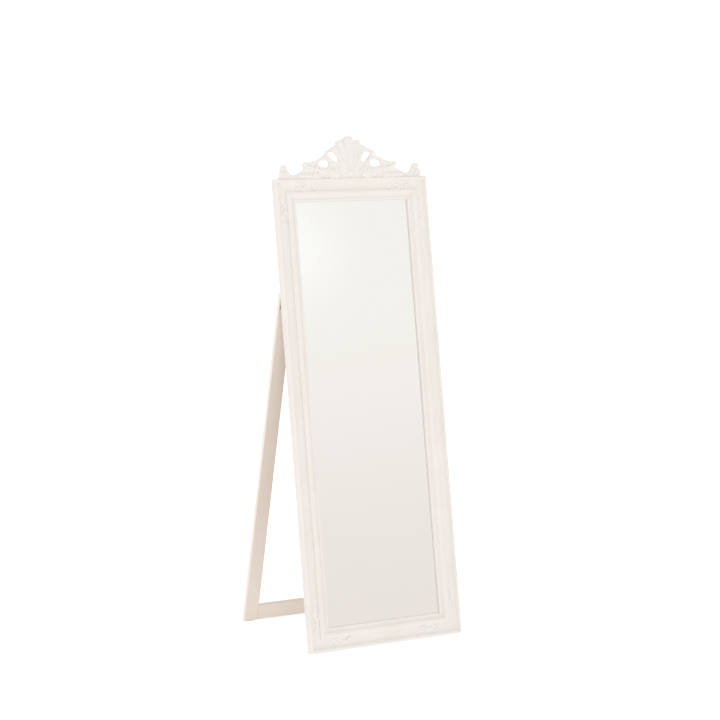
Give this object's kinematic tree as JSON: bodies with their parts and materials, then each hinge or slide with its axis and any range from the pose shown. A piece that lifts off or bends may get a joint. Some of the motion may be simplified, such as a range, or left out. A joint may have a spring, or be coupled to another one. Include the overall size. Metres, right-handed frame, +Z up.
{
  "type": "standing mirror",
  "caption": "Full-length leaning floor mirror in a carved, painted frame with a pierced shell crest, standing on a hinged back leg that folds flat.",
  "frame": {"origin": "on the floor under the middle of the mirror's box, as it stands open", "axes": "+X to the right of a person who faces the glass, +Y backwards towards the leg, +Z up"},
  "size_m": [0.544, 0.4938, 1.5857],
  "materials": {
    "frame_paint": "antique white satin paint over wood, lightly shaded in the hollows",
    "carving_paint": "antique white satin paint over carved and moulded ornament",
    "leg_paint": "cream paint over plain battens, faint grain",
    "mirror": "clear polished glass, silvered behind",
    "hardboard": "brown pressed fibre board, bare",
    "zinc_steel": "zinc plated, slightly dull",
    "glazing_steel": "plain cut steel",
    "dowel_wood": "bare beech",
    "felt": "pressed off-white felt"
  },
  "bodies": {
    "frame": {"stile_left": "frame_paint", "stile_right": "frame_paint", "rail_top": "frame_paint", "rail_bottom": "frame_paint", "crest": "carving_paint", "spray_stile_left_lower": "carving_paint", "spray_stile_left_upper": "carving_paint", "spray_rail_top_left": "carving_paint", "spray_rail_top_right": "carving_paint", "spray_stile_right_upper": "carving_paint", "spray_stile_right_lower": "carving_paint", "spray_rail_bottom_right": "carving_paint", "spray_rail_bottom_left": "carving_paint", "mirror_glass": "mirror", "backing_board": "hardboard", "glazier_point_stile_left_1": "glazing_steel", "glazier_point_stile_left_2": "glazing_steel", "glazier_point_stile_left_3": "glazing_steel", "glazier_point_stile_right_1": "glazing_steel", "glazier_point_stile_right_2": "glazing_steel", "glazier_point_stile_right_3": "glazing_steel", "glazier_point_rail_top_1": "glazing_steel", "glazier_point_rail_bottom_1": "glazing_steel", "mitre_wedge_bottom_left": "glazing_steel", "mitre_wedge_top_left": "glazing_steel", "mitre_wedge_top_right": "glazing_steel", "mitre_wedge_bottom_right": "glazing_steel", "crest_dowel_left": "dowel_wood", "crest_dowel_right": "dowel_wood", "frame_screw_left_1": "zinc_steel", "frame_screw_left_2": "zinc_steel", "frame_screw_left_3": "zinc_steel", "frame_screw_right_1": "zinc_steel", "frame_screw_right_2": "zinc_steel", "frame_screw_right_3": "zinc_steel", "hinge_leaf_frame_left": "zinc_steel", "hinge_leaf_frame_right": "zinc_steel", "hinge_pin_left": "zinc_steel", "hinge_pin_right": "zinc_steel", "frame_glide_left": "felt", "frame_glide_right": "felt"},
    "leg": {"leg_stile_left": "leg_paint", "leg_stile_right": "leg_paint", "leg_rail_top": "leg_paint", "leg_rail_bottom": "leg_paint", "hinge_leaf_leg_left": "zinc_steel", "hinge_leaf_leg_right": "zinc_steel", "leg_screw_left_1": "zinc_steel", "leg_screw_left_2": "zinc_steel", "leg_screw_left_3": "zinc_steel", "leg_screw_right_1": "zinc_steel", "leg_screw_right_2": "zinc_steel", "leg_screw_right_3": "zinc_steel", "leg_glide_left": "felt", "leg_glide_right": "felt"}
  },
  "joints": [
    {"name": "leg_fold", "type": "hinge", "parent": "frame", "child": "leg", "pos_m": [0, -0.04066, 1.07454], "axis": [-1, 0, 0], "range_deg": [0, 23.3]}
  ]
}
